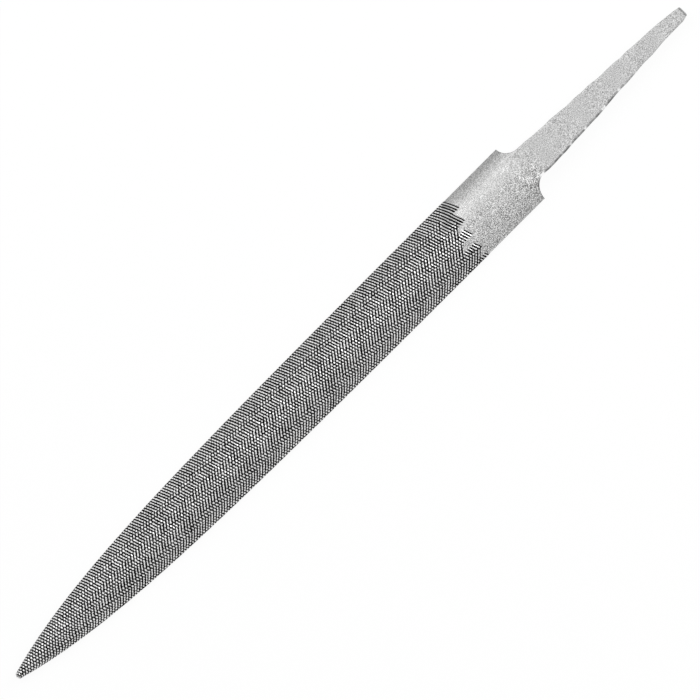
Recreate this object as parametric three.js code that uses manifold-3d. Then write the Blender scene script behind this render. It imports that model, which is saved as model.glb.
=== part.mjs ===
// A half round hand file without its handle: one bar of tool steel, in millimetres.
// +X runs from the tang to the point, +Y to the right edge, +Z is up, and the flat side lies down.
// While it is drawn, x = 0 is the shoulder line, where the blade's corners end and the tang begins,
// and z = 0 is the bare flat side. The last lines move the middle of the outline to the origin.
// The bar is drawn in three zones that meet face to face: the cut blade, the bare heel and the tang.
import * as THREE from "three";
import { mergeVertices } from "three/addons/utils/BufferGeometryUtils.js";
import Module from "manifold-3d";

// Driving sizes of the bar
const bladeLength = 150;
const tangLength = 48.7;
const bladeWidth = 14.6;
const bladeThickness = 4.5;
const edgeThickness = 0.5;
const cutOverrun = 2;

// The draw down to the point: width and thickness close on their full size over these reaches
const widthTaperReach = 23.6;
const widthTaperLead = 1.9;
const thicknessTaperReach = 26;
const thicknessTaperLead = 7.3;
const noseLength = 0.9;
const noseRingShare = 0.35;
const bellyLength = 60;
const bellyRise = 0.4;

// The teeth: strokes lean one way in the courses and the other way in the bands between them
const toothPitch = 0.647;
const toothDepth = 0.28;
const toothRaise = 0.12;
const toothFrontShare = 0.25;
const courseLean = THREE.MathUtils.degToRad(18);
const bandLean = THREE.MathUtils.degToRad(37);
const flatLean = THREE.MathUtils.degToRad(18);
const bandMiddleShares = [-0.56, -0.11, 0.34, 0.79];
const bandWidthShare = 0.2;
const facetWidth = 2.6;

// The first strokes at the heel start in steps, one to a course
const heelLength = 12.7;
const firstStroke = 1.2;
const strokeSteps = 3.2;
const courseStartShares = [0, 0.44, 0.78, 0.82, 1];
const flatStart = 2.4;

// The shoulders and the ramp from the round back down to the tang
const shoulderScoop = 3.4;
const rampFoot = 1.4;
const rampTop = 2;
const underRampFoot = 2.2;
const underRampTop = 0.8;
const heelArcSteps = 28;
const scoopSteps = 10;

// The tang, forged a little unevenly: each entry is a share of its length from the root to the end,
// and the left and right edges there as shares of half the root's width
const tangRootWidth = 7.7;
const tangRootThickness = 3.25;
const tangEndThickness = 1.9;
const tangUnderside = 0.25;
const tangEdgeChamfer = 0.35;
const tangRootChamfer = 0.12;
const tangEndChamfer = 0.5;
const tangOutlineShares = [
  [0, -1.1, 0.9],
  [0.17, -0.97, 0.88],
  [0.4, -0.8, 0.74],
  [0.62, -0.67, 0.56],
  [0.84, -0.49, 0.42],
  [1, -0.4, 0.37],
];

const halfWidth = bladeWidth / 2;
const settlePasses = 6;

const wasm = await Module();
wasm.setup();

// A closed geometry as a manifold-3d solid, its shared vertices merged by place
function solidOf(geometry) {
  const bare = geometry.index ? geometry.toNonIndexed() : geometry.clone();
  bare.deleteAttribute("normal");
  bare.deleteAttribute("uv");
  const merged = mergeVertices(bare);
  return new wasm.Manifold(
    new wasm.Mesh({
      numProp: 3,
      vertProperties: new Float32Array(merged.attributes.position.array),
      triVerts: new Uint32Array(merged.index.array),
    }),
  );
}

function geometryOf(solid) {
  const mesh = solid.getMesh();
  const geometry = new THREE.BufferGeometry();
  geometry.setAttribute("position", new THREE.BufferAttribute(mesh.vertProperties, mesh.numProp));
  geometry.setIndex(new THREE.BufferAttribute(mesh.triVerts, 1));
  const flat = geometry.toNonIndexed();
  flat.computeVertexNormals();
  return flat;
}

// Half the blade's width at x, bare of teeth
function halfWidthAt(x) {
  const fromPoint = Math.max(bladeLength - x, 0);
  return halfWidth * (1 - Math.exp(-(fromPoint + widthTaperLead) / widthTaperReach));
}

function thicknessAt(x) {
  const fromPoint = Math.max(bladeLength - x, 0);
  return bladeThickness * (1 - Math.exp(-(fromPoint + thicknessTaperLead) / thicknessTaperReach));
}

// The flat side's height at x: level, then a slow belly up to the point
function flatHeightAt(x) {
  const share = Math.max(0, (x - (bladeLength - bellyLength)) / bellyLength);
  return bellyRise * share ** 2;
}

// The round back's arc over a chord: its radius, and its centre's height above the flat side
function backArc(halfChord, thickness) {
  const edge = (edgeThickness * thickness) / bladeThickness;
  const rise = thickness - edge;
  const radius = (halfChord ** 2 + rise ** 2) / (2 * rise);
  return { radius, centre: thickness - radius };
}

// The teeth are of full height up to the belly, and grow shallower from there as the blade grows thin
const fullThickness = thicknessAt(bladeLength - bellyLength);
const liftAt = (x, lift) => lift * Math.min(1, thicknessAt(x) / fullThickness);

// A point of the round back: share is -1 at the left edge and 1 at the right, lift is square to the surface
function backPoint(x, share, lift) {
  const half = halfWidthAt(x);
  const { radius, centre } = backArc(half, thicknessAt(x));
  const angle = Math.asin((share * half) / radius);
  const reach = radius + liftAt(x, lift);
  return [x, reach * Math.sin(angle), flatHeightAt(x) + centre + reach * Math.cos(angle)];
}

function flatPoint(x, share, lift) {
  return [x, share * halfWidthAt(x), flatHeightAt(x) - liftAt(x, lift)];
}

// Where a stroke crosses a column: it trails the stroke's own station by a share of half the width there
function strokeX(station, lead) {
  let x = station;
  for (let pass = 0; pass < settlePasses; pass++) x = station + lead * halfWidthAt(x);
  return x;
}

// Shifts the leads of a set of columns so that no column runs ahead of a stroke's station
function trailing(columns) {
  const furthest = Math.max(...columns.map((column) => column.lead));
  return columns.map((column) => ({ ...column, lead: column.lead - furthest }));
}

// The columns of the back: its edges and both sides of each band, with more where a facet would be wide
function backColumns() {
  const bandEdges = bandMiddleShares.flatMap((share) => [
    share - bandWidthShare / 2,
    share + bandWidthShare / 2,
  ]);
  const shares = [-1, ...bandEdges, 1];
  const { radius } = backArc(halfWidth, bladeThickness);
  const arcAt = (share) => radius * Math.asin((share * halfWidth) / radius);
  const columns = [];
  let lead = 0;
  shares.forEach((share, i) => {
    const course = Math.floor(i / 2);
    const start = heelLength + firstStroke + strokeSteps * courseStartShares[course];
    const slope = i % 2 === 0 ? -Math.tan(courseLean) : Math.tan(bandLean);
    const next = shares[i + 1] ?? share;
    const leadAt = (place) => lead + (slope * (arcAt(place) - arcAt(share))) / halfWidth;
    const facets = Math.max(1, Math.ceil((arcAt(next) - arcAt(share)) / facetWidth));
    for (let facet = 0; facet < facets; facet++) {
      const place = THREE.MathUtils.lerp(share, next, facet / facets);
      columns.push({ share: place, lead: leadAt(place), start, at: backPoint });
    }
    lead = leadAt(next);
  });
  return trailing(columns);
}

// The columns of the flat side are its two edges
function flatColumns() {
  const start = heelLength + flatStart;
  const slope = Math.tan(flatLean);
  return trailing([-1, 1].map((share) => ({ share, lead: share * slope, start, at: flatPoint })));
}

// Every tooth is a crest and, just ahead of it, a root: the steep front faces the point
function toothStations() {
  const first = heelLength - cutOverrun;
  const last = bladeLength - noseLength - toothPitch;
  const count = Math.ceil((last - first) / toothPitch) - 1;
  const stations = [{ x: first, lift: 0 }];
  for (let tooth = 0; tooth < count; tooth++) {
    const crest = last - (count - 1 - tooth) * toothPitch;
    stations.push({ x: crest, lift: toothRaise });
    stations.push({ x: crest + toothFrontShare * toothPitch, lift: toothRaise - toothDepth });
  }
  stations.push({ x: bladeLength - noseLength * noseRingShare, lift: 0, nose: true });
  return stations;
}

// A side of the blade as a grid of vertex numbers: one row to a station, one place to a column
function sideGrid(columns, stations, vertices) {
  return stations.map((station) =>
    columns.map((column) => {
      const x = station.nose ? station.x : strokeX(station.x, column.lead);
      const lift = x < column.start ? 0 : station.lift;
      return vertices.push(column.at(x, column.share, lift)) - 1;
    }),
  );
}

// Two triangles to each cell of a grid, turned over for a side that faces down
function gridFaces(grid, faces, faceDown) {
  for (let row = 0; row + 1 < grid.length; row++) {
    for (let i = 0; i + 1 < grid[row].length; i++) {
      const [a, b] = [grid[row][i], grid[row][i + 1]];
      const [c, d] = [grid[row + 1][i + 1], grid[row + 1][i]];
      if (faceDown) faces.push([a, b, c], [a, c, d]);
      else faces.push([a, c, b], [a, d, c]);
    }
  }
}

// A strip between two lines of vertices that both run towards the point, whatever their spacing
function zipFaces(upper, lower, vertices, faces, faceLeft) {
  let u = 0;
  let l = 0;
  const put = (a, b, c) => faces.push(faceLeft ? [a, b, c] : [a, c, b]);
  while (u + 1 < upper.length || l + 1 < lower.length) {
    const upperNext = u + 1 < upper.length ? vertices[upper[u + 1]][0] : Infinity;
    const lowerNext = l + 1 < lower.length ? vertices[lower[l + 1]][0] : Infinity;
    if (upperNext <= lowerNext) {
      put(upper[u], lower[l], upper[u + 1]);
      u += 1;
    } else {
      put(upper[u], lower[l], lower[l + 1]);
      l += 1;
    }
  }
}

// A fan that closes a ring of vertices round one middle vertex
function fanFaces(ring, middle, faces) {
  ring.forEach((vertex, i) => faces.push([vertex, ring[(i + 1) % ring.length], middle]));
}

// The cut blade: two toothed sides, the blunt edges zipped between them, a nose and a trimmed heel end
function bladeSolid() {
  const vertices = [];
  const faces = [];
  const stations = toothStations();
  const back = sideGrid(backColumns(), stations, vertices);
  const flat = sideGrid(flatColumns(), stations, vertices);
  gridFaces(back, faces, false);
  gridFaces(flat, faces, true);
  const edge = (grid, last) => grid.map((row) => row[last ? row.length - 1 : 0]);
  zipFaces(edge(back, false), edge(flat, false), vertices, faces, true);
  zipFaces(edge(back, true), edge(flat, true), vertices, faces, false);

  const heelEnd = [...back[0], ...flat[0].toReversed()];
  const noseEnd = [...back.at(-1), ...flat.at(-1).toReversed()];
  const middleHeight = (x) => flatHeightAt(x) + thicknessAt(x) / 2;
  const heelX = heelLength - cutOverrun;
  fanFaces(heelEnd, vertices.push([heelX, 0, middleHeight(heelX)]) - 1, faces);
  fanFaces(noseEnd.toReversed(), vertices.push([bladeLength, 0, middleHeight(bladeLength)]) - 1, faces);

  const geometry = new THREE.BufferGeometry();
  geometry.setAttribute("position", new THREE.Float32BufferAttribute(vertices.flat(), 3));
  geometry.setIndex(faces.flat());
  const keepLength = bladeLength - heelLength + cutOverrun;
  const keep = new THREE.BoxGeometry(keepLength, bladeWidth + cutOverrun, bladeThickness + cutOverrun);
  keep.translate(heelLength + keepLength / 2, 0, bladeThickness / 2);
  return solidOf(geometry).intersect(solidOf(keep));
}

const tangMiddleHeight = tangUnderside + tangRootThickness / 2;
const tangRootTop = tangUnderside + tangRootThickness;
const [, ...tangRootEdges] = tangOutlineShares[0].map((share) => (share * tangRootWidth) / 2);

// The heel from above: straight edges, then a scoop at each shoulder that runs out on the tang
function heelPlan() {
  const side = (sign, root) => {
    const points = [];
    for (let i = 0; i <= scoopSteps; i++) {
      const turn = ((i / scoopSteps) * Math.PI) / 2;
      const across = sign * halfWidth + (root - sign * halfWidth) * Math.sin(turn);
      points.push(new THREE.Vector2(-shoulderScoop * (1 - Math.cos(turn)), across));
    }
    return points;
  };
  const front = [-1, 1].map((sign) => new THREE.Vector2(heelLength, sign * halfWidth));
  const [left, right] = tangRootEdges;
  return new THREE.Shape([...front, ...side(1, right), ...side(-1, left).toReversed()]);
}

// The heel from its side: the ramps over and under it that lead down to the tang
function heelProfile() {
  const rampX = rampTop + cutOverrun;
  const rampHeight = THREE.MathUtils.mapLinear(rampX, -rampFoot, rampTop, tangRootTop, bladeThickness);
  return new THREE.Shape([
    new THREE.Vector2(-shoulderScoop, tangUnderside),
    new THREE.Vector2(-underRampFoot, tangUnderside),
    new THREE.Vector2(underRampTop, 0),
    new THREE.Vector2(heelLength, 0),
    new THREE.Vector2(heelLength, rampHeight),
    new THREE.Vector2(rampX, rampHeight),
    new THREE.Vector2(-rampFoot, tangRootTop),
    new THREE.Vector2(-shoulderScoop, tangRootTop),
  ]);
}

// The bare half round section, seen along the bar
function heelSection() {
  const { radius, centre } = backArc(halfWidth, bladeThickness);
  const open = Math.asin(halfWidth / radius);
  const points = [new THREE.Vector2(-halfWidth, 0), new THREE.Vector2(halfWidth, 0)];
  for (let i = 0; i <= heelArcSteps; i++) {
    const angle = open * (1 - (2 * i) / heelArcSteps);
    points.push(new THREE.Vector2(radius * Math.sin(angle), centre + radius * Math.cos(angle)));
  }
  return new THREE.Shape(points);
}

// The heel is what its plan, its profile and its section have in common
function heelSolid() {
  const extruded = (shape, depth) => new THREE.ExtrudeGeometry(shape, { depth, bevelEnabled: false });
  const plan = extruded(heelPlan(), bladeThickness + 2 * cutOverrun).translate(0, 0, -cutOverrun);
  const profile = extruded(heelProfile(), bladeWidth + 2 * cutOverrun)
    .rotateX(Math.PI / 2)
    .translate(0, halfWidth + cutOverrun, 0);
  const section = extruded(heelSection(), heelLength + shoulderScoop)
    .rotateX(Math.PI / 2)
    .rotateZ(Math.PI / 2)
    .translate(-shoulderScoop, 0, 0);
  return solidOf(plan).intersect(solidOf(profile)).intersect(solidOf(section));
}

// A ring of the tang's section: a rectangle between two edges, with its corners taken off
function tangRing(place, left, right, chamfer, shrink = 0) {
  const rise = THREE.MathUtils.lerp(tangRootThickness, tangEndThickness, place) / 2 - shrink;
  const [low, high] = [left + shrink, right - shrink];
  const ring = [
    [high, rise - chamfer],
    [high - chamfer, rise],
    [low + chamfer, rise],
    [low, rise - chamfer],
    [low, chamfer - rise],
    [low + chamfer, -rise],
    [high - chamfer, -rise],
    [high, chamfer - rise],
  ];
  const x = THREE.MathUtils.lerp(-shoulderScoop, -tangLength, place);
  return ring.map(([y, z]) => [x, y, tangMiddleHeight + z]);
}

// Rings of equal length joined in order, with a flat cap at each end
function loftSolid(rings) {
  const vertices = rings.flat();
  const faces = [];
  const size = rings[0].length;
  rings.slice(1).forEach((_, r) => {
    for (let i = 0; i < size; i++) {
      const next = (i + 1) % size;
      const [a, b] = [r * size + i, r * size + next];
      faces.push([a, b, b + size], [a, b + size, a + size]);
    }
  });
  for (let i = 1; i + 1 < size; i++) {
    const last = vertices.length - size;
    faces.push([0, i + 1, i], [last, last + i, last + i + 1]);
  }
  const geometry = new THREE.BufferGeometry();
  geometry.setAttribute("position", new THREE.Float32BufferAttribute(vertices.flat(), 3));
  geometry.setIndex(faces.flat());
  return solidOf(geometry);
}

// The tang runs from its root at the heel to a blunt end with a chamfer all round
function tangSolid() {
  const half = tangRootWidth / 2;
  const chamferShare = tangEndChamfer / (tangLength - shoulderScoop);
  const rings = tangOutlineShares.map(([place, left, right], i) => {
    const chamfer = i === 0 ? tangRootChamfer : tangEdgeChamfer;
    const last = i === tangOutlineShares.length - 1;
    return tangRing(last ? place - chamferShare : place, left * half, right * half, chamfer);
  });
  const [place, left, right] = tangOutlineShares.at(-1);
  rings.push(tangRing(place, left * half, right * half, tangEdgeChamfer, tangEndChamfer / 2));
  return loftSolid(rings.toReversed());
}

const cutSteel = new THREE.MeshStandardMaterial({ color: 0x7d7d7c, roughness: 0.42, metalness: 0.9 });
const groundSteel = new THREE.MeshStandardMaterial({ color: 0xbfbfbe, roughness: 0.4, metalness: 0.9 });
const softSteel = new THREE.MeshStandardMaterial({ color: 0xc6c6c6, roughness: 0.5, metalness: 0.85 });

const zones = [
  ["blade", bladeSolid(), cutSteel],
  ["heel", heelSolid(), groundSteel],
  ["tang", tangSolid(), softSteel],
];

const halfRoundFile = new THREE.Group();
for (const [name, solid, material] of zones) {
  const mesh = new THREE.Mesh(geometryOf(solid), material);
  mesh.name = name;
  halfRoundFile.add(mesh);
}
halfRoundFile.position.set(-(bladeLength - tangLength) / 2, 0, toothRaise);

export default halfRoundFile;
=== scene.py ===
import math
from types import SimpleNamespace

import bmesh
import bpy
import numpy as np
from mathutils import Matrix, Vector, noise


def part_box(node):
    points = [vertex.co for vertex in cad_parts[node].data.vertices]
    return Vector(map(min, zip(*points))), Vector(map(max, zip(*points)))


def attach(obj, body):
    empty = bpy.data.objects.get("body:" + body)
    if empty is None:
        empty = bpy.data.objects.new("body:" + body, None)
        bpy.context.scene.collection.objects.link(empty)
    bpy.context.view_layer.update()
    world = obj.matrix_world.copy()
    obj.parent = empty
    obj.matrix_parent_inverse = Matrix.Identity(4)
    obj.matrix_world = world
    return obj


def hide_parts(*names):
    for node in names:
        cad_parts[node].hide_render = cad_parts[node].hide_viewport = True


# A half round hand file without its handle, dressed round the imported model: one bar of tool steel
# with a cut blade, a bare ground heel and a forged tang. The dictionaries give sizes in millimetres
# along the bar from its shoulders, across it from its middle, and up from the bare flat side.
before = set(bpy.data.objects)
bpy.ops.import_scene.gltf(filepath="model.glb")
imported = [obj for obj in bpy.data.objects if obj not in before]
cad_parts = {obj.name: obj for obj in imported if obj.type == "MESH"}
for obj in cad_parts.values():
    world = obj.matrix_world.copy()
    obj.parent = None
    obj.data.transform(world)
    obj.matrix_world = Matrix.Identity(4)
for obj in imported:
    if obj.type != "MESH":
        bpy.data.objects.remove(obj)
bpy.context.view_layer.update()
scene = bpy.context.scene
mm = 0.001

bar = {
    "bladeLength": 150.0,
    "halfWidth": 7.3,
    "thickness": 4.5,
    "edgeThickness": 0.5,
    "heelLength": 12.7,
    "widthReach": 23.6,  # the taper to the point closes on full width over this reach
    "widthLead": 1.9,
    "thicknessReach": 26.0,
    "thicknessLead": 7.3,
    "bellyLength": 60.0,
    "bellyRise": 0.4,
    "edgeTuck": 0.2,  # how far the flat side stops short of the back's teeth
}
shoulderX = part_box("blade")[1].x / mm - bar["bladeLength"]
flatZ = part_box("heel")[0].z / mm


class Wire:
    # A socket of a node tree that Python sums can use: each operator adds the Math node that does it
    def __init__(self, nodes, socket):
        self.nodes, self.socket = nodes, socket

    def __add__(self, other):
        return self.nodes.math("ADD", self, other)

    def __radd__(self, other):
        return self.nodes.math("ADD", other, self)

    def __sub__(self, other):
        return self.nodes.math("SUBTRACT", self, other)

    def __rsub__(self, other):
        return self.nodes.math("SUBTRACT", other, self)

    def __mul__(self, other):
        return self.nodes.math("MULTIPLY", self, other)

    def __rmul__(self, other):
        return self.nodes.math("MULTIPLY", other, self)

    def __truediv__(self, other):
        return self.nodes.math("DIVIDE", self, other)

    def __neg__(self):
        return self.nodes.math("MULTIPLY", self, -1.0)

    def __gt__(self, other):
        return self.nodes.math("GREATER_THAN", self, other)


class Nodes:
    # Fills one node tree, for a shape or for a finish
    def __init__(self, tree):
        self.tree = tree
        tree.nodes.clear()

    def make(self, kind, settings=None, values=None, out=0):
        node = self.tree.nodes.new(kind)
        rowsDown, across = divmod(len(self.tree.nodes), 14)
        node.location = (190 * across, -230 * rowsDown)
        for name, value in (settings or {}).items():
            if name == "curve":
                self.drawCurve(node.mapping, value)
            elif name == "stops":
                self.setStops(node.color_ramp, value)
            else:
                setattr(node, name, value)
        for key, value in (values or {}).items():
            if isinstance(value, Wire):
                self.tree.links.new(value.socket, node.inputs[key])
            else:
                node.inputs[key].default_value = value
        return Wire(self, node.outputs[out]) if node.outputs else node

    def drawCurve(self, mapping, points):
        line = mapping.curves[0].points
        while len(line) < len(points):
            line.new(0.5, 0.5)
        for knot, place in zip(line, points):
            knot.location = place
            knot.handle_type = "AUTO_CLAMPED"
        mapping.update()

    def setStops(self, ramp, stops):
        while len(ramp.elements) < len(stops):
            ramp.elements.new(0.5)
        for stop, (place, grey) in zip(ramp.elements, stops):
            stop.position = place
            stop.color = (grey, grey, grey, 1.0)

    def math(self, operation, *terms):
        return self.make("ShaderNodeMath", {"operation": operation}, dict(enumerate(terms)))

    def clamp(self, value, low, high):
        return self.math("MINIMUM", self.math("MAXIMUM", value, low), high)

    def ease(self, value, low, high):
        # 0 below low, 1 above high and a smooth change between
        limits = {"Value": value, "From Min": low, "From Max": high}
        return self.make("ShaderNodeMapRange", {"interpolation_type": "SMOOTHSTEP"}, limits)

    def stepped(self, place, edges, levels, soft):
        # A value that goes from one level to the next at each edge, over a short way
        total = levels[0]
        for edge, before, after in zip(edges, levels, levels[1:]):
            total = self.ease(place, edge - soft / 2, edge + soft / 2) * (after - before) + total
        return total

    def blend(self, factor, first, second):
        return first + (second - first) * factor

    def vector(self, x, y, z):
        return self.make("ShaderNodeCombineXYZ", None, {"X": x, "Y": y, "Z": z})

    def chance(self, *numbers):
        # A number from 0 to 1 that is the same each time for the same three numbers
        return self.make("ShaderNodeTexWhiteNoise", None, {"Vector": self.vector(*numbers)})


# The teeth of the round back. Fine strokes lean one way in five courses along the blade, and coarse
# strokes lean the other way in the four bands between them. Shares go from -1 at the left edge to 1.
teeth = {
    "finePitch": 0.647,
    "coarsePitch": 0.80875,
    "fineLean": math.tan(math.radians(18)),
    "coarseLean": math.tan(math.radians(37)),
    "toothDepth": 0.28,
    "toothRaise": 0.12,
    "lastStation": 149.55,
}
backCut = {
    "round": True,
    "fineEdges": (-0.56, -0.11, 0.34, 0.79),
    "fineMiddles": (-0.73, -0.33, 0.136, 0.605, 0.917),
    "fineStarts": (14.4, 15.4, 16.3, 16.7, 16.9),
    "fineShifts": (0.06, 0.22, 0.23, -0.29, -0.6),  # where each course's strokes lie, in pitches
    "coarseEdges": (-0.33, 0.136, 0.605),
    "coarseMiddles": (-0.56, -0.11, 0.34, 0.79),
    "coarseStarts": (19.4, 17.9, 19.4, 17.7),
    "coarseShifts": (0.07, 0.42, 0.67, 0.36),
    # How far the coarse cut takes over from the fine one across the back
    "mix": ((-1, 0.2), (-0.77, 0.07), (-0.57, 0.56), (-0.36, 0.07), (-0.09, 0.82), (0.15, 0.3),
            (0.355, 0.95), (0.61, 0.3), (0.78, 0.88), (0.9, 0.65), (1, 0.4)),
    "mixNearPoint": (0.45, 0.28),  # at the middle there, and how much more at the right edge
    "seed": 4,
}
flatCut = {
    "round": False,
    "fineEdges": (),
    "fineMiddles": (0,),
    "fineStarts": (16.2,),
    "fineShifts": (0,),
    "coarseEdges": (),
    "coarseMiddles": (0,),
    "coarseStarts": (19.4,),
    "coarseShifts": (0,),
    "mix": ((-1, 0.4), (1, 0.4)),
    "mixNearPoint": (0.4, 0.0),
    "seed": 9,
}
cutVariety = {
    "perPitch": 3,  # lines of the lattice to a pitch
    "shiftChange": 0.2,  # share of the half width over which one course's strokes give way to the next
    "shiftIn": 1.1,  # strokes take their own places over this length at the heel
    "shiftOut": 1.2,  # and leave them over this one at the point
    "strong": 0.92,  # a cut's depth where it has a course to itself, and where the other cut has it
    "weak": 0.33,
    "fadeFrom": 0.55,  # where the coarse cut hasn't begun, fine strokes end between these shares of mix
    "fadeTo": 0.9,
    "strokeDepth": 0.13,  # how much shallower a stroke may be, as a share
    "strokeDrift": 0.12,  # strokes stray from their places within a range this wide, in pitches
    "startDrift": 0.3,  # and from their starts within one this wide, in millimetres
    "cutFrom": 0.3,  # steel goes from bare to cut where its deeper cut is between these
    "cutTo": 0.55,
    "mixFrom": 126.0,  # from here to mixTo both cuts come to cover the whole width
    "mixTo": 135.0,
    "alignFrom": 136.0,  # over this length the courses' strokes come to meet end to end
    "alignTo": 145.0,
    "rimFrom": 0.93,  # the strokes get shallower from this share of the way to the rim
    "rimFill": 0.75,
    "noseReach": 1.2,  # more than the half width at the last station
    "noseFade": 0.35,  # over this length the teeth end there
    "noseShade": 0.37,  # the bare nose takes the painted root shade of a groove this deep
    "tuckFrom": 0.5,  # so far beyond the heel the flat side begins to draw in
    "tuckTo": 3.0,
    "tuckLimit": 0.25,  # and it draws in by no more than this share of its half width
    "settlePasses": 5,
    "mergeWithin": 0.004,  # points of the lattice that meet at an edge become one
}


def halfWidthAt(x):
    toPoint = max(bar["bladeLength"] - x, 0)
    return bar["halfWidth"] * (1 - math.exp(-(toPoint + bar["widthLead"]) / bar["widthReach"]))


def thicknessAt(x):
    toPoint = max(bar["bladeLength"] - x, 0)
    return bar["thickness"] * (1 - math.exp(-(toPoint + bar["thicknessLead"]) / bar["thicknessReach"]))


def backRadius(half, thickness):
    rise = thickness * (1 - bar["edgeThickness"] / bar["thickness"])
    return (half * half + rise * rise) / (2 * rise)


def alongSurface(cut, share):
    # How far from its middle line a side reaches, along its surface, at a share of the half width
    if not cut["round"]:
        return share * bar["halfWidth"]
    radius = backRadius(bar["halfWidth"], bar["thickness"])
    return radius * math.asin(share * bar["halfWidth"] / radius)


def shiftLengths(cut):
    # The shifts of the fine courses and of the coarse ones, in millimetres
    fine = [shift * teeth["finePitch"] for shift in cut["fineShifts"]]
    coarse = [shift * teeth["coarsePitch"] for shift in cut["coarseShifts"]]
    return fine, coarse


def sideInputs(cut):
    # The lattice has room for every stroke that touches the side, wherever its course is shifted to
    perPitch = cutVariety["perPitch"]
    reach = alongSurface(cut, 1)
    lean = teeth["fineLean"] + teeth["coarseLean"]
    fineShifts, coarseShifts = shiftLengths(cut)
    slack = 1.5 * teeth["coarsePitch"] / perPitch
    firstFine = bar["heelLength"] - teeth["fineLean"] * reach - max(fineShifts) - slack
    noseLean = teeth["fineLean"] * cutVariety["noseReach"]
    lastFine = teeth["lastStation"] + noseLean - min(fineShifts) + slack
    before = lean * reach - min(fineShifts) + max(coarseShifts) + slack
    after = lean * reach + max(fineShifts) - min(coarseShifts) + slack
    return {
        **bar,
        **teeth,
        "firstFine": firstFine,
        "firstCoarse": firstFine - before,
        "rows": math.ceil((lastFine - firstFine) * perPitch / teeth["finePitch"]),
        "columns": math.ceil((before + after) * perPitch / teeth["coarsePitch"]) + 1,
        "fullThickness": thicknessAt(bar["bladeLength"] - bar["bellyLength"]),
        "seed": cut["seed"],
        "shoulderX": shoulderX,
        "flatZ": flatZ,
    }


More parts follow.
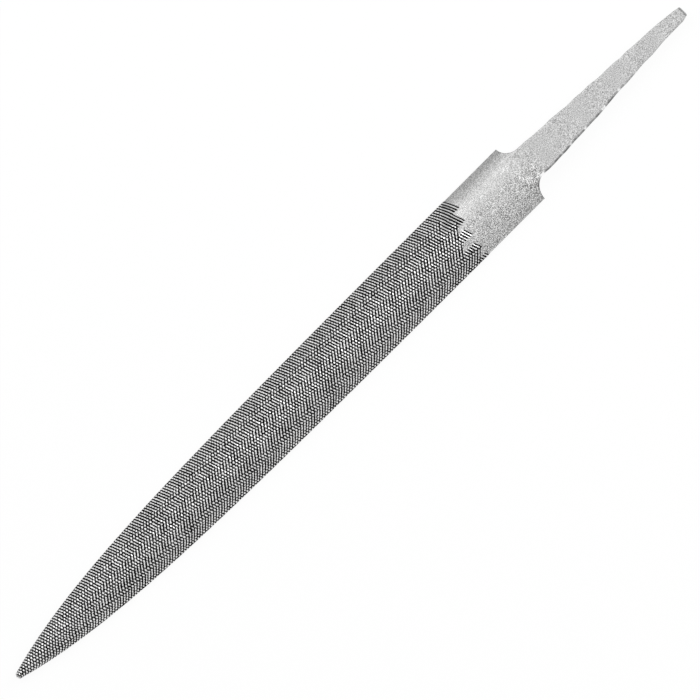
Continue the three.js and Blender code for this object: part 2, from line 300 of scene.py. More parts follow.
def bladeSideTree(name, cut, material):
    # One side of the blade as a lattice: its rows run along the fine strokes and its columns step
    # from one coarse stroke to the next, three of each to a pitch, so that both cuts have true edges
    tree = bpy.data.node_groups.new(name, "GeometryNodeTree")
    nodes = Nodes(tree)
    values = sideInputs(cut)
    for key, value in values.items():
        kind = "NodeSocketInt" if isinstance(value, int) else "NodeSocketFloat"
        tree.interface.new_socket(key, in_out="INPUT", socket_type=kind)
    tree.interface.new_socket("Geometry", in_out="OUTPUT", socket_type="NodeSocketGeometry")
    entry = nodes.make("NodeGroupInput").socket.node
    given = SimpleNamespace(**{key: Wire(nodes, entry.outputs[key]) for key in values})
    perPitch = cutVariety["perPitch"]
    fineShifts, coarseShifts = shiftLengths(cut)
    tiny = 0.001
    wholeGuard = 0.01  # keeps whole numbers whole when they are rounded down

    def shapeAt(x):
        toPoint = nodes.math("MAXIMUM", given.bladeLength - x, 0)
        narrowing = nodes.math("EXPONENT", -(toPoint + given.widthLead) / given.widthReach)
        half = (1 - narrowing) * given.halfWidth
        thinning = nodes.math("EXPONENT", -(toPoint + given.thicknessLead) / given.thicknessReach)
        thickness = (1 - thinning) * given.thickness
        if not cut["round"]:
            tuckFrom = bar["heelLength"] + cutVariety["tuckFrom"]
            tuckTo = bar["heelLength"] + cutVariety["tuckTo"]
            tuck = nodes.ease(x, tuckFrom, tuckTo) * given.edgeTuck
            half = half - nodes.math("MINIMUM", half * cutVariety["tuckLimit"], tuck)
            return SimpleNamespace(half=half, thickness=thickness, edge=half)
        rise = thickness * (1 - given.edgeThickness / given.thickness)
        radius = (half * half + rise * rise) / (rise * 2)
        edge = nodes.math("ARCTAN2", half, radius - rise) * radius
        return SimpleNamespace(half=half, thickness=thickness, radius=radius, edge=edge)

    def shareAt(shape, across):
        if cut["round"]:
            across = nodes.math("SINE", across / shape.radius) * shape.radius
        return nodes.clamp(across / shape.half, -1, 1)

    def within(shape, across):
        return nodes.clamp(across, -shape.edge, shape.edge)

    index = nodes.make("GeometryNodeInputIndex")
    row = nodes.math("FLOOR", (index + 0.5) / given.columns)
    column = index - row * given.columns
    fineStation = given.firstFine + row * given.finePitch / perPitch
    passed = nodes.math("FLOOR", row * given.finePitch / given.coarsePitch + wholeGuard)
    coarseColumn = passed + column
    coarseStation = given.firstCoarse + coarseColumn * given.coarsePitch / perPitch
    leans = given.fineLean + given.coarseLean

    def shiftsAt(x, share):
        # Strokes sit on their own places only inside the cut, so that the lattice ends in clean lines
        inside = nodes.ease(x, bar["heelLength"], bar["heelLength"] + cutVariety["shiftIn"])
        last = teeth["lastStation"]
        inside = inside * (1 - nodes.ease(x, last - cutVariety["shiftOut"], last))
        soft = cutVariety["shiftChange"]
        apart = 1 - nodes.ease(x, cutVariety["alignFrom"], cutVariety["alignTo"])
        shifts = []
        for edges, levels in ((cut["fineEdges"], fineShifts), (cut["coarseEdges"], coarseShifts)):
            common = levels[len(levels) // 2]
            shift = (nodes.stepped(share, edges, levels, soft) - common) * apart + common
            shifts.append(inside * shift)
        return shifts

    across = (fineStation - coarseStation) / leans
    x = fineStation - given.fineLean * across
    for _ in range(cutVariety["settlePasses"]):
        shape = shapeAt(x)
        held = within(shape, across)
        fineShift, coarseShift = shiftsAt(x, shareAt(shape, held))
        across = (fineStation - coarseStation + fineShift - coarseShift) / leans
        x = fineStation + fineShift - given.fineLean * within(shape, across)
    x = nodes.clamp(x, given.heelLength, given.lastStation)
    shape = shapeAt(x)
    across = within(shape, (fineStation + fineShift - x) / given.fineLean)
    share = shareAt(shape, across)

    def grooveAt(phase):
        # 0 at a stroke's crest and 1 at its root, one line of the lattice on from it
        rise = perPitch / (perPitch - 1)
        falling, rising = phase * perPitch, (1 - phase) * rise
        return nodes.math("MAXIMUM", nodes.math("MINIMUM", falling, rising), phase * -rise)

    def stroke(number, kind, slope):
        # A stroke's own luck, and whether it is cut: its middle must lie beyond its course's start
        edges, starts = cut[kind + "Edges"], cut[kind + "Starts"]
        middles = [alongSurface(cut, middle) for middle in cut[kind + "Middles"]]
        course = nodes.stepped(share, edges, range(len(starts)), tiny)
        luck = nodes.chance(number, course * 2 + int(kind == "coarse"), given.seed)
        centre = nodes.stepped(share, edges, middles, tiny)
        start = nodes.stepped(share, edges, starts, tiny) + (luck - 0.5) * cutVariety["startDrift"]
        return luck, x + (across - centre) * slope > start

    fineNumber = nodes.math("FLOOR", (row + 0.5) / perPitch)
    fineGroove = grooveAt(row / perPitch - fineNumber)
    fineLuck, fineOn = stroke(fineNumber, "fine", given.fineLean)
    coarseTurns = (x - given.coarseLean * across - coarseShift - given.firstCoarse) / given.coarsePitch
    coarseNumber = nodes.math("ROUND", coarseTurns - 1 / perPitch)
    coarseGroove = grooveAt(coarseTurns - coarseNumber)
    coarseLuck, coarseOn = stroke(coarseNumber, "coarse", -given.coarseLean)

    line = [((place + 1) / 2, level) for place, level in cut["mix"]]
    mix = nodes.make("ShaderNodeFloatCurve", {"curve": line}, {"Value": (share + 1) / 2})
    middle, slant = cut["mixNearPoint"]
    mixing = nodes.ease(x, cutVariety["mixFrom"], cutVariety["mixTo"])
    mix = nodes.blend(mixing, mix, share * slant + middle)
    spread = cutVariety["strong"] - cutVariety["weak"]
    alone = (1 - nodes.ease(mix, cutVariety["fadeFrom"], cutVariety["fadeTo"])) * cutVariety["strong"]
    fineWeight = nodes.blend(coarseOn, alone, cutVariety["strong"] - mix * spread) * fineOn
    coarseWeight = (mix * spread + cutVariety["weak"]) * coarseOn
    uneven = cutVariety["strokeDepth"]
    fineCut = fineGroove * fineWeight * (1 - fineLuck * uneven)
    coarseCut = coarseGroove * coarseWeight * (1 - coarseLuck * uneven)
    depth = nodes.math("MAXIMUM", fineCut, coarseCut)
    nose = 1 - nodes.ease(x, teeth["lastStation"] - cutVariety["noseFade"], teeth["lastStation"])
    weight = nodes.math("MAXIMUM", fineWeight, coarseWeight)
    isCut = nodes.ease(weight, cutVariety["cutFrom"], cutVariety["cutTo"])
    scale = nodes.math("MINIMUM", shape.thickness / given.fullThickness, 1) * nose
    atRim = nodes.ease(nodes.math("ABSOLUTE", across / shape.edge), cutVariety["rimFrom"], 1)
    notch = depth * (1 - atRim * cutVariety["rimFill"])
    lift = (isCut * given.toothRaise - notch * given.toothDepth) * scale

    total = fineWeight + coarseWeight + tiny
    fineDrift = (fineLuck - 0.5) * fineWeight * given.finePitch
    coarseDrift = (coarseLuck - 0.5) * coarseWeight * given.coarsePitch
    drift = (fineDrift + coarseDrift) / total * cutVariety["strokeDrift"] * isCut * nose
    bellyStart = given.bladeLength - given.bellyLength
    belly = nodes.math("MAXIMUM", (x - bellyStart) / given.bellyLength, 0)
    base = belly * belly * given.bellyRise + given.flatZ
    if cut["round"]:
        angle, arm = across / shape.radius, shape.radius + lift
        y = arm * nodes.math("SINE", angle)
        z = base + shape.thickness - shape.radius + arm * nodes.math("COSINE", angle)
    else:
        y, z = across, base - lift
    labels = {
        "groove": nodes.blend(nose, cutVariety["noseShade"], depth),
        "cut": isCut,
        "reach": across / shape.edge,
        "tone": nodes.blend(fineWeight / total, coarseLuck, fineLuck),
        "single": 1 - fineOn * coarseOn,
    }
    place = nodes.vector((x + drift + given.shoulderX) * mm, y * mm, z * mm)
    growLattice(nodes, given, place, labels, material)
    return tree, values


def growLattice(nodes, given, place, labels, material):
    # The grid itself: each point is labelled for the finish, then moved to its place
    size = {"Vertices X": given.rows, "Vertices Y": given.columns}
    geometry = nodes.make("GeometryNodeMeshGrid", None, size)
    split = {"quad_method": "FIXED_ALTERNATE"}
    geometry = nodes.make("GeometryNodeTriangulate", split, {"Mesh": geometry})
    for label, value in labels.items():
        kept = {"Geometry": geometry, "Name": label, "Value": value}
        geometry = nodes.make("GeometryNodeStoreNamedAttribute", None, kept)
    geometry = nodes.make("GeometryNodeSetPosition", None, {"Geometry": geometry, "Position": place})
    merge = {"Geometry": geometry, "Distance": cutVariety["mergeWithin"] * mm}
    geometry = nodes.make("GeometryNodeMergeByDistance", None, merge)
    geometry = nodes.make("GeometryNodeRealizeInstances", None, {"Geometry": geometry})
    finish = {"Geometry": geometry, "Material": material}
    geometry = nodes.make("GeometryNodeSetMaterial", None, finish)
    nodes.make("NodeGroupOutput", None, {"Geometry": geometry})


def grownMesh(name, cut, material):
    # A side of the blade, grown by its tree and turned into a plain mesh
    tree, values = bladeSideTree(name, cut, material)
    seedling = bpy.data.objects.new(name, bpy.data.meshes.new(name))
    scene.collection.objects.link(seedling)
    modifier = seedling.modifiers.new("cut", "NODES")
    modifier.node_group = tree
    for item in tree.interface.items_tree:
        if item.name in values:
            modifier[item.identifier] = values[item.name]
    graph = bpy.context.evaluated_depsgraph_get()
    mesh = bpy.data.meshes.new_from_object(
        seedling.evaluated_get(graph), preserve_all_data_layers=True, depsgraph=graph
    )
    seedling.modifiers.clear()
    bpy.data.objects.remove(seedling)
    print(name, len(mesh.vertices), "points", len(mesh.polygons), "faces")
    return mesh


bladeEnds = {
    "rimReach": 0.999,  # points farther out than this share of the way to the rim are on it
    "noseRings": ((0.35, 0.84), (0.65, 0.6), (0.88, 0.33)),  # how far along the nose, and how wide
    "noseLap": 0.05,  # the nose's own faces begin this far before the last station
    "bareCut": 0.01,  # a face is bare where none of its corners is cut more than this
    "capFacing": 0.9,  # and on the cap where it faces along the bar more than this
}


def zipSides(bm, upper, lower):
    # A strip of triangles between two lines of points that both run towards the point
    above = below = 0
    while above + 1 < len(upper) or below + 1 < len(lower):
        aboveNext = upper[above + 1].co.x if above + 1 < len(upper) else math.inf
        belowNext = lower[below + 1].co.x if below + 1 < len(lower) else math.inf
        if aboveNext <= belowNext:
            bm.faces.new((upper[above], lower[below], upper[above + 1]))
            above += 1
        else:
            bm.faces.new((upper[above], lower[below], lower[below + 1]))
            below += 1


def roundNose(bm, ring):
    # Ever narrower rings from the last station, and a peak at the point
    pointX, last = bar["bladeLength"], teeth["lastStation"]
    heart = Vector((0, 0, (bar["bellyRise"] + thicknessAt(pointX) / 2 + flatZ) * mm))
    for along, width in bladeEnds["noseRings"]:
        grown = bmesh.ops.extrude_edge_only(bm, edges=ring)["geom"]
        fresh = [g for g in grown if isinstance(g, bmesh.types.BMVert)]
        for v in fresh:
            v.co.yz = heart.yz + (v.co.yz - heart.yz) * width
            v.co.x = (last + (pointX - last) * along + shoulderX) * mm
        ring = [g for g in grown if isinstance(g, bmesh.types.BMEdge) and g.is_boundary]
    tip = bmesh.ops.holes_fill(bm, edges=ring, sides=0)["faces"]
    peak = bmesh.ops.poke(bm, faces=tip)["verts"]
    for v in peak:
        v.co = Vector(((pointX + shoulderX) * mm, 0, heart.z))


def closeBlade(back, flat):
    # Joins the two sides along the blunt edges, caps the heel end and rounds the nose
    bm = bmesh.new()
    bm.from_mesh(back)
    backCount = len(bm.verts)
    bm.from_mesh(flat)
    reach = bm.verts.layers.float["reach"]
    bm.verts.index_update()
    rim = {v for e in bm.edges if e.is_boundary for v in e.verts}
    for side in (-1, 1):
        onRim = [v for v in rim if v[reach] * side > bladeEnds["rimReach"]]
        line = sorted(onRim, key=lambda v: (v.co.x, v.index))
        upper = [v for v in line if v.index < backCount]
        lower = [v for v in line if v.index >= backCount]
        zipSides(bm, upper, lower)
    middle = (bar["bladeLength"] / 2 + shoulderX) * mm
    openEdges = [e for e in bm.edges if e.is_boundary]
    heelEnd = [e for e in openEdges if e.verts[0].co.x < middle]
    bmesh.ops.holes_fill(bm, edges=heelEnd, sides=0)
    for edge in heelEnd:
        edge.smooth = False
    roundNose(bm, [e for e in openEdges if e.verts[0].co.x > middle])
    bmesh.ops.triangulate(bm, faces=[f for f in bm.faces if len(f.verts) > 4])
    bmesh.ops.recalc_face_normals(bm, faces=bm.faces)
    mesh = bpy.data.meshes.new("fileBlade")
    bm.to_mesh(mesh)
    bm.free()
    return mesh


def smoothBareFaces(mesh):
    # Cut faces stay crisp, while the nose and the bare steel behind the first strokes are smooth
    cut = np.zeros(len(mesh.vertices), np.float32)
    mesh.attributes["cut"].data.foreach_get("value", cut)
    reach = np.zeros(len(mesh.vertices), np.float32)
    mesh.attributes["reach"].data.foreach_get("value", reach)
    smooth = []
    noseStart = (teeth["lastStation"] - bladeEnds["noseLap"] + shoulderX) * mm
    for face in mesh.polygons:
        corners = list(face.vertices)
        onNose = min(mesh.vertices[corner].co.x for corner in corners) > noseStart
        onEdge = abs(reach[corners]).min() > bladeEnds["rimReach"]
        onCap = abs(face.normal.x) > bladeEnds["capFacing"]
        isBare = cut[corners].max() < bladeEnds["bareCut"]
        smooth.append(bool(onNose or isBare and not onEdge and not onCap))
    mesh.polygons.foreach_set("use_smooth", smooth)
    mesh.update()


def makePiece(name, mesh, material, node):
    piece = bpy.data.objects.new(name, mesh)
    scene.collection.objects.link(piece)
    mesh.materials.clear()
    mesh.materials.append(material)
    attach(piece, "root")
    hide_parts(node)


def newFinish(name):
    material = bpy.data.materials.new(name)
    material.use_nodes = True
    nodes = Nodes(material.node_tree)
    return material, nodes


def noiseAt(nodes, place, scale, detail, roughness=0.55):
    values = {"Vector": place, "Scale": scale, "Detail": detail, "Roughness": roughness}
    return nodes.make("ShaderNodeTexNoise", None, values)


def mixColour(nodes, factor, first, second):
    values = {"Factor_Float": factor, "A_Color": first, "B_Color": second}
    settings = {"data_type": "RGBA"}
    node = nodes.make("ShaderNodeMix", settings).socket.node
    for socket in node.inputs:
        if socket.identifier in values:
            value = values[socket.identifier]
            if isinstance(value, Wire):
                nodes.tree.links.new(value.socket, socket)
            else:
                socket.default_value = value
    return Wire(nodes, next(s for s in node.outputs if s.type == "RGBA"))


def stretched(nodes, place, lengths, turn=0.0):
    values = {"Vector": place, "Rotation": (0, 0, math.radians(turn)), "Scale": lengths}
    return nodes.make("ShaderNodeMapping", {"vector_type": "TEXTURE"}, values)


def finishSurface(nodes, colour, roughness, height, finish):
    bump = {"Height": height, "Strength": finish["bumpStrength"], "Distance": finish["bumpDistance"]}
    normal = nodes.make("ShaderNodeBump", None, bump)
    surface = {
        "Base Color": colour,
        "Roughness": roughness,
        "Metallic": finish["metallic"],
        "Normal": normal,
    }
    shader = nodes.make("ShaderNodeBsdfPrincipled", None, surface)
    nodes.make("ShaderNodeOutputMaterial", None, {"Surface": shader})


groundFinish = {
    "dark": (0.16, 0.16, 0.159, 1),
    "light": (0.97, 0.97, 0.966, 1),
    "grainScale": 3000.0,
    "fineScale": 6200.0,
    "brushScale": 2600.0,
    "patchScale": 260.0,
    "grain": 0.05,  # how strongly each noise shows in the colour
    "fine": 1.25,
    "brush": 0.14,
    "patch": 0.1,
    "creaseShade": 0.1,
    "sideGrain": 2.1,  # how much stronger the grain is at the right edge
    "edgeShade": 0.2,  # how much painted shade darkens the steel along both edges
    "roughness": 0.5,
    "metallic": 0.75,
    "bumpStrength": 0.35,
    "bumpDistance": 0.00004,
}
# What the ground finishes share, with places along and across the bar in the frame's millimetres
zones = {
    "brushLengths": (6, 1, 1),  # the marks of grinding run slantwise over the bar
    "brushTurn": 45.0,
    "shoulders": -51.0,  # they are strongest here, up to nearTo from it, and weakest from farFrom
    "nearTo": 2.0,
    "farFrom": 6.5,
    "nearGain": 3.0,
    "creaseTo": 1.2,  # so near to them the right half of the ramp has painted shade, and from creaseFrom not
    "creaseFrom": 2.6,
    "creaseLeft": -0.7,
    "creaseRight": 0.8,
    "grainLeft": -2.5,  # the grain gets stronger from here to grainRight
    "grainRight": 4.5,
    "edgeInner": 4.6,  # painted shade darkens the steel from here to edgeOuter on both sides
    "edgeOuter": 7.2,
    "grainRoughness": 0.2,  # how much each noise changes the roughness
    "patchRoughness": 0.1,
    "fineHeight": 0.4,  # how much the fine noise adds to the bump
}


def groundLook(nodes, place, finish):
    # Fine blasted grain over soft patches, with painted shade along both edges and on the ramp's right
    # half near the shoulders: the colour's factor, the roughness and the bump's height
    grain = noiseAt(nodes, place, finish["grainScale"], 2.0, 0.65)
    fine = noiseAt(nodes, place, finish["fineScale"], 0.0)
    slanted = stretched(nodes, place, zones["brushLengths"], zones["brushTurn"])
    brush = noiseAt(nodes, slanted, finish["brushScale"], 1.0)
    patch = noiseAt(nodes, place, finish["patchScale"], 3.0)
    x = nodes.make("ShaderNodeSeparateXYZ", None, {"Vector": place}, out="X")
    y = nodes.make("ShaderNodeSeparateXYZ", None, {"Vector": place}, out="Y")
    away = nodes.math("ABSOLUTE", x - zones["shoulders"] * mm)
    far = nodes.ease(away, zones["nearTo"] * mm, zones["farFrom"] * mm)
    brushed = (brush - 0.5) * (zones["nearGain"] - far * (zones["nearGain"] - 1))
    side = nodes.ease(y, zones["grainLeft"] * mm, zones["grainRight"] * mm) * finish["sideGrain"] + 1
    # Painted shade on the right half of the ramp near the shoulders, which faces the key lamp
    creased = 1 - nodes.ease(away, zones["creaseTo"] * mm, zones["creaseFrom"] * mm)
    onRight = nodes.ease(y, zones["creaseLeft"] * mm, zones["creaseRight"] * mm)
    creased = creased * onRight * finish["creaseShade"]
    speckle = (grain - 0.5) * finish["grain"] + (fine - 0.5) * finish["fine"]
    speckle = brushed * finish["brush"] + speckle
    # Painted shade along both edges, where the round back turns away from the light
    atEdge = nodes.ease(nodes.math("ABSOLUTE", y), zones["edgeInner"] * mm, zones["edgeOuter"] * mm)
    patched = (patch - 0.5) * finish["patch"] + 0.5
    factor = speckle * side + patched - atEdge * finish["edgeShade"] - creased
    roughness = finish["roughness"] + (grain - 0.5) * zones["grainRoughness"]
    roughness = roughness + (patch - 0.5) * zones["patchRoughness"]
    return nodes.clamp(factor, 0, 1), roughness, grain + fine * zones["fineHeight"]


scaleShadeGlintFinish = {
    "scale": 420.0,
    "stretch": (1, 30, 30),
    # Dark scale and painted edge shade, with a few painted glints
    "stops": ((0.0, 0.08), (0.47, 0.2), (0.56, 0.5), (0.6, 1.0)),
    "fadeFrom": -74.0,  # places along the bar, in the frame's millimetres
    "fadeTo": -88.0,
}


def scaleShadeGlintEdge(nodes, place, colour):
    # The right edge of the tang and of the shoulder above it: a thin broken line of dark scale with
    # painted edge shade and painted glints
    rim = nodes.make("ShaderNodeAttribute", {"attribute_name": "rim"}, out="Fac")
    x = nodes.make("ShaderNodeSeparateXYZ", None, {"Vector": place}, out="X")
    kept = nodes.ease(x, scaleShadeGlintFinish["fadeTo"] * mm, scaleShadeGlintFinish["fadeFrom"] * mm)
    streak = noiseAt(nodes, stretched(nodes, place, scaleShadeGlintFinish["stretch"]), scaleShadeGlintFinish["scale"], 2.0)
    shade = nodes.make("ShaderNodeValToRGB", {"stops": scaleShadeGlintFinish["stops"]}, {"Fac": streak})
    return mixColour(nodes, rim * kept, colour, shade)


def makeGroundSteel():
    material, nodes = newFinish("groundSteel")
    place = nodes.make("ShaderNodeTexCoord", out="Object")
    factor, roughness, height = groundLook(nodes, place, groundFinish)
    colour = mixColour(nodes, factor, groundFinish["dark"], groundFinish["light"])
    finishSurface(nodes, scaleShadeGlintEdge(nodes, place, colour), roughness, height, groundFinish)
    return material


tangFinish = {
    "dark": (0.2, 0.2, 0.2, 1),
    "light": (0.92, 0.92, 0.918, 1),
    "grainScale": 2900.0,
    "fineScale": 6200.0,
    "brushScale": 2400.0,
    "patchScale": 220.0,
    "grain": 0.0,
    "fine": 1.45,
    "brush": 0.15,
    "patch": 0.12,
    "creaseShade": 0.0,
    "sideGrain": 0.15,
    "edgeShade": 0.0,
    "endShade": 0.8,
    "endFrom": -98.5,  # painted shade darkens the tang's end from here to endTo, in the frame's millimetres
    "endTo": -98.9,
    "roughness": 0.5,
    "metallic": 0.75,
    "bumpStrength": 0.3,
    "bumpDistance": 0.00004,
}


def makeTangSteel():
    material, nodes = newFinish("tangSteel")
    place = nodes.make("ShaderNodeTexCoord", out="Object")
    factor, roughness, height = groundLook(nodes, place, tangFinish)
    x = nodes.make("ShaderNodeSeparateXYZ", None, {"Vector": place}, out="X")
    # Painted shade over the tang's rounded end
    atEnd = nodes.ease(-x, -tangFinish["endFrom"] * mm, -tangFinish["endTo"] * mm)
    factor = nodes.clamp(factor - atEnd * tangFinish["endShade"], 0, 1)
    colour = mixColour(nodes, factor, tangFinish["dark"], tangFinish["light"])
    finishSurface(nodes, scaleShadeGlintEdge(nodes, place, colour), roughness, height, tangFinish)
    return material


cutFinish = {
    # The tooth roots are near black: painted shade in the grooves, with a little residue
    "root": (0.005, 0.005, 0.005, 1),
    "crestDark": (0.88, 0.88, 0.876, 1),
    "crestLight": (0.99, 0.99, 0.986, 1),
    "landFrom": 0.44,  # grooves deeper than this are dark with painted shade, and shallower than landTo are bright
    "landTo": 0.29,
    "wearScale": 3800.0,
    "wear": 0.6,
    "groundLand": 0.6,  # how much ground steel is left between the first strokes of a single cut
    "edgeRootShade": 0.05,  # painted shade: how much more of each tooth is dark along both edges
    "strokeTone": 0.5,  # how much a stroke's own tone, and the steel's grain, change its crest
    "grainTone": 0.3,
    "rootRoughness": 0.6,
    "crestPolish": 0.25,  # how much less rough the crests are
    "metallic": 0.9,
    "bumpStrength": 0.35,
    "bumpDistance": 0.00004,
}


def makeCutSteel():
    material, nodes = newFinish("cutSteel")
    place = nodes.make("ShaderNodeTexCoord", out="Object")

    def attribute(name):
        return nodes.make("ShaderNodeAttribute", {"attribute_name": name}, out="Fac")

    depth, isCut, tone = attribute("groove"), attribute("cut"), attribute("tone")
    factor, roughness, height = groundLook(nodes, place, groundFinish)
    wear = noiseAt(nodes, place, cutFinish["wearScale"], 2.0)
    atEdge = nodes.ease(nodes.math("ABSOLUTE", attribute("reach")), cutVariety["rimFrom"], 1)
    # Random wear and the groove's depth place the dark roots; painted shade widens them along both
    # edges
    wearAndShade = (wear - 0.5) * cutFinish["wear"] + depth + atEdge * cutFinish["edgeRootShade"]
    land = 1 - nodes.ease(wearAndShade, cutFinish["landTo"], cutFinish["landFrom"])
    crestTone = 0.5 + (tone - 0.5) * cutFinish["strokeTone"] + (factor - 0.5) * cutFinish["grainTone"]
    crestTone = nodes.clamp(crestTone, 0, 1)
    crest = mixColour(nodes, crestTone, cutFinish["crestDark"], cutFinish["crestLight"])
    bare = mixColour(nodes, factor, groundFinish["dark"], groundFinish["light"])
    crest = mixColour(nodes, attribute("single") * cutFinish["groundLand"], crest, bare)
    # Painted shade: the tooth roots take the near-black root colour
    toothed = mixColour(nodes, land, cutFinish["root"], crest)
    colour = mixColour(nodes, isCut, bare, toothed)
    toothRoughness = cutFinish["rootRoughness"] - land * cutFinish["crestPolish"]
    finishSurface(nodes, colour, nodes.blend(isCut, roughness, toothRoughness), height, cutFinish)
    return material


# The heel and the tang are rings of points along the bar, each with a top, an underside, two side
# walls and four rounded corners
heel = {
    "scoop": 3.4,
    "rampFoot": -1.4,
    "rampTop": 2.0,
    "underFoot": -2.2,
    "underTop": 0.8,
    "creaseSoftness": 0.15,  # how soft the ramp's upper edge is, and its foot
    "footSoftness": 0.06,
    "domeStart": 3.2,  # the rings lie closer up to here than beyond it
    # The sizes of the rounded corners, here and on the tang, each with its place along the bar
    "corners": ((-6.0, 0.33), (-3.4, 0.2), (0, 0.14), (11.5, 0.12), (12.7, 0.02)),
    "uneven": 0.012,  # how far the surface swells, less and less over the last length before the teeth
    "evenLength": 4.0,
    "rimReach": 0.5,  # how far the right edge's scale, painted shade and painted glints reach in, there and along the tang
    "rimGain": 2.0,
}
tang = {
    "length": 48.45,
    "rootHalf": 3.85,
    "rootThickness": 3.25,
    "endThickness": 1.9,
    "underside": 0.25,
    "outline": ((0, -1.1, 0.9), (0.035, -1.09, 0.935), (0.07, -1.05, 0.93), (0.17, -0.965, 0.88),
                (0.4, -0.8, 0.745), (0.62, -0.655, 0.55), (0.84, -0.515, 0.42), (0.95, -0.42, 0.38),
                (1, -0.39, 0.36)),
    "endRound": 0.38,
    "bluntLength": 1.6,  # over this length the end draws in on each side by that width
    "bluntWidth": 0.36,
    "uneven": 0.035,
    "swellTurns": (0.5, 0.6),  # the swells along and across the bar in a millimetre
    "swellSeed": 4.0,
    "swellDrop": 0.4,  # they mostly lie below the even surface
    "wander": 0.16,  # how far both edges swing in and out, and how often in a millimetre
    "wanderTurns": 0.47,
    "wanderSeed": (7.3, 1.5),
    "wanderStart": 3.0,  # the swing grows to its full size over this length
}
# Points round a ring, and rings along the bar
ringSteps = {"top": 61, "corner": 5, "wall": 3, "under": 31}
barSteps = {"scoop": 18, "ramp": 24, "dome": 26, "tang": 90, "end": 6}


def softMin(a, b, soft):
    share = min(max(0.5 + (b - a) / (2 * soft), 0), 1)
    return b + (a - b) * share - soft * share * (1 - share)


def softMax(a, b, soft):
    return -softMin(-a, -b, soft)


def swellAt(x, y, seed):
    return noise.noise(Vector((x, y, seed)))


def edgesAt(x):
    # The left and right edges seen from above: the blade's, a scoop at each shoulder, then the tang's
    places, lefts, rights = zip(*tang["outline"])
    if x < -heel["scoop"]:
        share = (-heel["scoop"] - x) / (tang["length"] - heel["scoop"])
        turns = x * tang["wanderTurns"]
        apart, seed = tang["wanderSeed"]
        wander = [tang["wander"] * swellAt(turns, side * apart, seed) for side in (-1, 1)]
        fade = min(1, (-heel["scoop"] - x) / tang["wanderStart"])
        blunting = max(0, 1 - (tang["length"] + x) / tang["bluntLength"]) * tang["bluntWidth"]
        return [
            float(np.interp(share, places, shares)) * tang["rootHalf"] + drift * fade - side * blunting
            for side, shares, drift in zip((-1, 1), (lefts, rights), wander)
        ]
    turn = math.sqrt(max(0, 1 - (1 + min(x, 0) / heel["scoop"]) ** 2))
    half = halfWidthAt(x)
    roots = (lefts[0] * tang["rootHalf"], rights[0] * tang["rootHalf"])
    return [sign * half + (root - sign * half) * turn for sign, root in zip((-1, 1), roots)]


def thicknessOfTang(x):
    share = max(0, -heel["scoop"] - x) / (tang["length"] - heel["scoop"])
    return tang["rootThickness"] + (tang["endThickness"] - tang["rootThickness"]) * share


def topAt(x, y):
    half, thickness = halfWidthAt(x), thicknessAt(x)
    radius = backRadius(half, thickness)
    dome = thickness - radius + math.sqrt(max(radius * radius - y * y, 0))
    middle = tang["underside"] + tang["rootThickness"] / 2
    slope = (thicknessAt(0) - middle - tang["rootThickness"] / 2) / (heel["rampTop"] - heel["rampFoot"])
    rise = softMax(0, (x - heel["rampFoot"]) * slope, heel["footSoftness"])
    ramp = middle + thicknessOfTang(x) / 2 + rise
    uneven = tang["uneven"]
    if x >= -heel["scoop"]:
        uneven = heel["uneven"] * min(1, (bar["heelLength"] - x) / heel["evenLength"])
    along, across = tang["swellTurns"]
    swell = swellAt(x * along, y * across, tang["swellSeed"]) - tang["swellDrop"]
    return softMin(dome, ramp, heel["creaseSoftness"]) + uneven * swell


def undersideAt(x):
    middle = tang["underside"] + tang["rootThickness"] / 2
    share = (heel["underTop"] - x) / (heel["underTop"] - heel["underFoot"])
    foot = middle - thicknessOfTang(x) / 2
    return foot * min(max(share, 0), 1)


def cornerRound(corner, start, end):
    # A corner's points, drawn from start to end round the sharp corner
    points = []
    for i in range(1, ringSteps["corner"]):
        t = i / ringSteps["corner"]
        parts = ((1 - t) ** 2, 2 * t * (1 - t), t * t)
        points.append(tuple(sum(p * q[k] for p, q in zip(parts, (start, corner, end))) for k in (0, 1)))
    return points


def ringAt(x, shrink=0.0):
    left, right = edgesAt(x)
    left, right = left + shrink, right - shrink
    corner = float(np.interp(x, *zip(*heel["corners"])))
    radius = backRadius(bar["halfWidth"], bar["thickness"])
    first, last = math.asin((left + corner) / radius), math.asin((right - corner) / radius)
    turns = np.linspace(first, last, ringSteps["top"])
    top = [(radius * math.sin(t), topAt(x, radius * math.sin(t)) - shrink) for t in turns]
    low = undersideAt(x) + shrink
    under = [(float(y), low) for y in np.linspace(right - corner, left + corner, ringSteps["under"])]
    highRight, highLeft = topAt(x, right) - shrink, topAt(x, left) - shrink

    def wall(y, start, end):
        return [(y, float(z)) for z in np.linspace(start, end, ringSteps["wall"])]

    rightWall = wall(right, highRight - corner, low + corner)
    leftWall = wall(left, low + corner, highLeft - corner)
    ring = top + cornerRound((right, highRight), top[-1], rightWall[0]) + rightWall
    ring += cornerRound((right, low), rightWall[-1], under[0]) + under
    ring += cornerRound((left, low), under[-1], leftWall[0]) + leftWall
    ring += cornerRound((left, highLeft), leftWall[-1], top[0])
    return [Vector(((x + shoulderX) * mm, y * mm, (z + flatZ) * mm)) for y, z in ring]


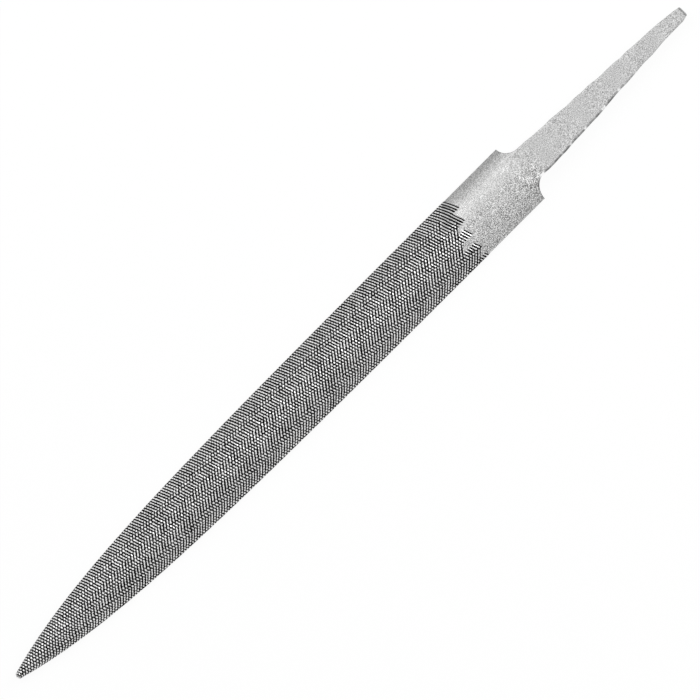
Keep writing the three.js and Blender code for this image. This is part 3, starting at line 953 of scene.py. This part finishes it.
def loftMesh(name, rings):
    # A closed skin over rings of points, with a label for the right edge's scale, painted shade and
    # painted glints
    bm = bmesh.new()
    rim = bm.verts.layers.float.new("rim")
    rows = [[bm.verts.new(point) for point in ring] for ring in rings]
    reach = heel["rimReach"] * mm
    aboveCount = ringSteps["top"] + ringSteps["corner"] - 2  # the top, and most of the corner after it
    for row in rows:
        above = row[:aboveCount]
        inner = max(vert.co.y for vert in above) - reach
        for vert in above:
            onRim = (vert.co.y - inner) / reach * heel["rimGain"]
            vert[rim] = min(max(onRim, 0), 1) if vert.co.x < shoulderX * mm else 0
    for a, b in zip(rows, rows[1:]):
        for i in range(len(a)):
            face = bm.faces.new((a[i], a[i - 1], b[i - 1], b[i]))
            face.smooth = True
    for ends in (rows[0], rows[-1]):
        cap = bm.faces.new(ends)
        for edge in cap.edges:
            edge.smooth = False
    bmesh.ops.recalc_face_normals(bm, faces=bm.faces)
    mesh = bpy.data.meshes.new(name)
    bm.to_mesh(mesh)
    bm.free()
    return mesh


def heelMesh():
    turns = [math.pi / 2 * i / barSteps["scoop"] for i in range(barSteps["scoop"], 0, -1)]
    scoop = [-heel["scoop"] * (1 - math.cos(turn)) for turn in turns]
    start = heel["domeStart"]
    ramp = [start * i / barSteps["ramp"] for i in range(barSteps["ramp"])]
    length = bar["heelLength"] - start
    dome = [start + length * i / barSteps["dome"] for i in range(barSteps["dome"] + 1)]
    return loftMesh("fileHeel", [ringAt(x) for x in scoop + ramp + dome])


def tangMesh():
    end = -tang["length"] + tang["endRound"]
    length = -heel["scoop"] - end
    rings = [ringAt(end + length * i / barSteps["tang"]) for i in range(barSteps["tang"] + 1)]
    for i in range(1, barSteps["end"] + 1):
        turn = math.pi / 2 * i / barSteps["end"]
        ring = ringAt(end, tang["endRound"] * (1 - math.cos(turn)))
        for point in ring:
            point.x -= tang["endRound"] * math.sin(turn) * mm
        rings.insert(0, ring)
    return loftMesh("fileTang", rings)


# The stage: a white floor that takes a faint shadow, soft light from above and the left
stage = {
    "floorHalf": 5.0,
    "floorDrop": 0.00002,
    "floorGlow": 0.9,
    "floorColour": 0.13,
    "worldLevel": 0.55,
    "keyPlace": (0.1, -0.8, 0.85),
    "keySize": 0.8,
    "keyPower": 3.0,
    "fillPlace": (-0.1, 0.2, 1.2),
    "fillSize": 0.6,
    "fillPower": 0.7,
    "heelPlace": (-1.1, 0.0, 0.2),  # catches the backs of the teeth
    "heelSize": 0.8,
    "heelPower": 10.0,
}


def showsWhite(nodes):
    # 1 for rays that should meet the white background: the camera's, and those off metal or through
    # something clear. The second value is 1 for the others, off matt surfaces
    path = nodes.make("ShaderNodeLightPath").socket.node
    camera, glossy, through, diffuse = [
        Wire(nodes, path.outputs["Is " + kind + " Ray"])
        for kind in ("Camera", "Glossy", "Transmission", "Diffuse")
    ]
    white = nodes.math("MAXIMUM", nodes.math("MAXIMUM", camera, glossy), through)
    return white, diffuse


def makeFloor():
    half = stage["floorHalf"]
    corners = [(-half, -half), (half, -half), (half, half), (-half, half)]
    mesh = bpy.data.meshes.new("floor")
    mesh.from_pydata([(x, y, -stage["floorDrop"]) for x, y in corners], [], [(0, 1, 2, 3)])
    floor = bpy.data.objects.new("floor", mesh)
    scene.collection.objects.link(floor)
    material, nodes = newFinish("paper")
    white, isDiffuse = showsWhite(nodes)
    grey = stage["floorColour"]
    glow = nodes.make("ShaderNodeEmission", None, {"Strength": white * stage["floorGlow"]})
    matt = nodes.make("ShaderNodeBsdfDiffuse", None, {"Color": (grey, grey, grey, 1)})
    paper = nodes.make("ShaderNodeAddShader", None, {0: glow, 1: matt})
    under = nodes.make("ShaderNodeNewGeometry", out="Backfacing")
    clear = nodes.make("ShaderNodeBsdfTransparent")
    through = nodes.math("MAXIMUM", under, isDiffuse)
    surface = nodes.make("ShaderNodeMixShader", None, {0: through, 1: paper, 2: clear})
    nodes.make("ShaderNodeOutputMaterial", None, {"Surface": surface})
    mesh.materials.append(material)


def makeWorld():
    world = bpy.data.worlds.new("studio")
    world.use_nodes = True
    scene.world = world
    nodes = Nodes(world.node_tree)
    white, _ = showsWhite(nodes)
    strength = nodes.blend(white, stage["worldLevel"], 1.0)
    light = nodes.make("ShaderNodeBackground", None, {"Strength": strength})
    nodes.make("ShaderNodeOutputWorld", None, {"Surface": light})


def makeLamp(name, place, size, power):
    data = bpy.data.lights.new(name, "AREA")
    data.size = size
    data.energy = power
    lamp = bpy.data.objects.new(name, data)
    lamp.location = place
    lamp.rotation_euler = (-Vector(place)).to_track_quat("-Z", "Y").to_euler()
    scene.collection.objects.link(lamp)


view = {
    "lens": 300.0,
    "sensor": 36.0,
    "frameWidth": 147.455,  # what the photograph spans, at frameHeight above the floor
    "frameHeight": 1.0,
    "aim": (0.96, 0.86),
    "turn": 135.0,
}


def makeCamera():
    data = bpy.data.cameras.new("camera")
    data.lens = view["lens"]
    data.sensor_width = view["sensor"]
    data.clip_end = 50.0
    eye = bpy.data.objects.new("camera", data)
    height = view["frameWidth"] * view["lens"] / view["sensor"] + view["frameHeight"]
    eye.location = (view["aim"][0] * mm, view["aim"][1] * mm, height * mm)
    eye.rotation_euler = (0, 0, math.radians(view["turn"]))
    scene.collection.objects.link(eye)
    scene.camera = eye


scene.view_settings.view_transform = "Standard"
makeCamera()
makeWorld()
makeFloor()
for lamp in ("key", "fill", "heel"):
    makeLamp(lamp + "Lamp", stage[lamp + "Place"], stage[lamp + "Size"], stage[lamp + "Power"])
print("stage ready")

cutSteel = makeCutSteel()
groundSteel = makeGroundSteel()
tangSteel = makeTangSteel()
print("finishes ready")

backMesh = grownMesh("bladeBack", backCut, cutSteel)
flatMesh = grownMesh("bladeFlat", flatCut, cutSteel)
bladeMesh = closeBlade(backMesh, flatMesh)
smoothBareFaces(bladeMesh)
makePiece("fileBlade", bladeMesh, cutSteel, "blade")
print("blade ready", len(bladeMesh.polygons), "faces")
makePiece("fileHeel", heelMesh(), groundSteel, "heel")
makePiece("fileTang", tangMesh(), tangSteel, "tang")
print("heel and tang ready")
